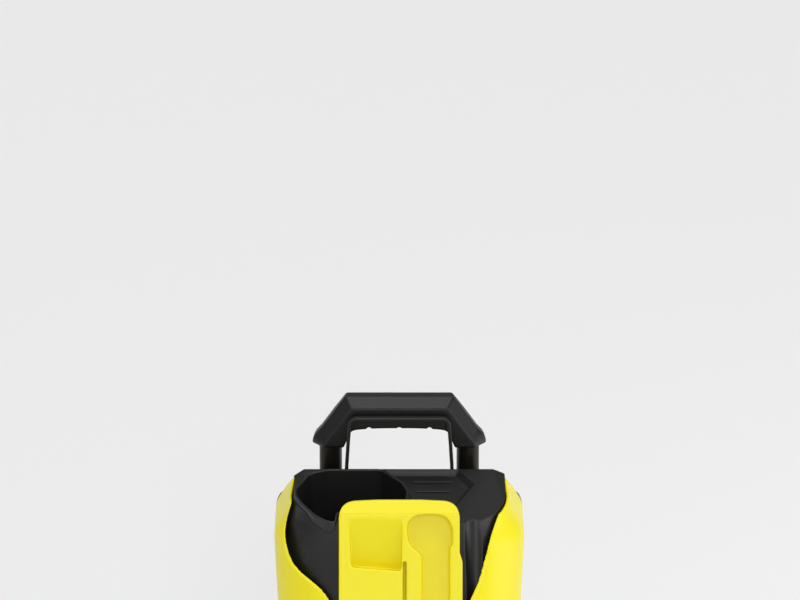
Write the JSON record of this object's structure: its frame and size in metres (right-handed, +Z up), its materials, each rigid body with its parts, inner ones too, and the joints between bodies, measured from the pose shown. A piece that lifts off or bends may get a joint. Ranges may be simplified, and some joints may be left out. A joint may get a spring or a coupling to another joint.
{
  "type": "pressure washer",
  "caption": "Upright electric pressure washer with telescopic trolley handle, bottle well, lance panel, power knob, wheels and wobble-plate pump.",
  "frame": {"origin": "on the floor under the middle of the machine's bounding box", "axes": "+Z up, front towards -Y, +X to the right as seen from the front"},
  "size_m": [0.305, 0.4, 0.5839],
  "materials": {
    "yellow_cover": "satin moulded yellow plastic",
    "black_plastic": "fine-grained black plastic",
    "grip_plastic": "grained black plastic",
    "handle_tube": "black anodised tube",
    "tyre_rubber": "matte tyre tread",
    "soft_rubber": "matte rubber",
    "steel": "turned steel",
    "brass": "turned brass",
    "cast_aluminium": "die-cast aluminium",
    "winding": "varnished copper winding",
    "grey_plastic": "moulded grey plastic",
    "filter_mesh": "moulded filter basket"
  },
  "bodies": {
    "body": {"accessory_panel": "yellow_cover", "axle_left": "steel", "axle_right": "steel", "bottle_well": "black_plastic", "cable_gland": "black_plastic", "capacitor": "grey_plastic", "carry_bow": "black_plastic", "chassis_base": "black_plastic", "deck_screw_left": "steel", "deck_screw_right": "steel", "detergent_hose": "soft_rubber", "foot_left": "soft_rubber", "foot_right": "soft_rubber", "front_cover": "black_plastic", "guide_collar_left": "black_plastic", "guide_collar_right": "black_plastic", "guide_tube_left": "grey_plastic", "guide_tube_right": "grey_plastic", "inlet_filter": "filter_mesh", "inlet_hose": "soft_rubber", "motor_end_cap": "black_plastic", "motor_housing": "cast_aluminium", "motor_mount_front": "soft_rubber", "motor_mount_rear": "soft_rubber", "piston_spring_1": "steel", "piston_spring_2": "steel", "piston_spring_3": "steel", "pressure_outlet": "brass", "pump_block": "cast_aluminium", "pump_bracket": "cast_aluminium", "rear_cover": "black_plastic", "side_cover_left": "yellow_cover", "side_cover_right": "yellow_cover", "stator": "winding", "switch_box": "grey_plastic", "terminal_box": "grey_plastic", "top_cover": "black_plastic", "water_inlet": "black_plastic", "well_spigot": "grey_plastic"},
    "handle": {"grip_shell": "grip_plastic", "grip_insert": "grip_plastic", "rod_left": "handle_tube", "rod_right": "handle_tube", "rod_plug_left": "grey_plastic", "rod_plug_right": "grey_plastic"},
    "wheel_left": {"tyre_left": "tyre_rubber", "hub_left": "black_plastic", "hub_cap_left": "grey_plastic"},
    "wheel_right": {"tyre_right": "tyre_rubber", "hub_right": "black_plastic", "hub_cap_right": "grey_plastic"},
    "power_knob": {"power_knob": "black_plastic", "knob_spindle": "steel"},
    "motor_shaft": {"rotor": "steel", "cooling_fan": "grey_plastic", "wobble_plate": "steel"},
    "piston_1": {"piston_1": "steel"},
    "piston_2": {"piston_2": "steel"},
    "piston_3": {"piston_3": "steel"}
  },
  "joints": [
    {"name": "handle_slide", "type": "slide", "parent": "body", "child": "handle", "axis": [0, 0, 1], "range_m": [0, 0.4]},
    {"name": "wheel_left_spin", "type": "hinge", "parent": "body", "child": "wheel_left", "pos_m": [-0.1405, 0.105, 0.095], "axis": [1, 0, 0], "continuous": true},
    {"name": "wheel_right_spin", "type": "hinge", "parent": "body", "child": "wheel_right", "pos_m": [0.1405, 0.105, 0.095], "axis": [1, 0, 0], "continuous": true},
    {"name": "power_knob_turn", "type": "hinge", "parent": "body", "child": "power_knob", "pos_m": [0, -0.14608, 0.22475], "axis": [0, -0.9524, 0.3048], "range_deg": [-90, 0]},
    {"name": "motor_spin", "type": "hinge", "parent": "body", "child": "motor_shaft", "pos_m": [0, 0, 0.115], "axis": [0, 1, 0], "continuous": true},
    {"name": "piston_1_stroke", "type": "slide", "parent": "body", "child": "piston_1", "axis": [0, -1, 0], "range_m": [0, 0.0056], "stiffness_N_per_m": 1500, "springref_m": -0.002, "deforming": ["piston_spring_1"]},
    {"name": "piston_2_stroke", "type": "slide", "parent": "body", "child": "piston_2", "axis": [0, -1, 0], "range_m": [0, 0.0056], "stiffness_N_per_m": 1500, "springref_m": -0.002, "deforming": ["piston_spring_2"]},
    {"name": "piston_3_stroke", "type": "slide", "parent": "body", "child": "piston_3", "axis": [0, -1, 0], "range_m": [0, 0.0056], "stiffness_N_per_m": 1500, "springref_m": -0.002, "deforming": ["piston_spring_3"]}
  ]
}
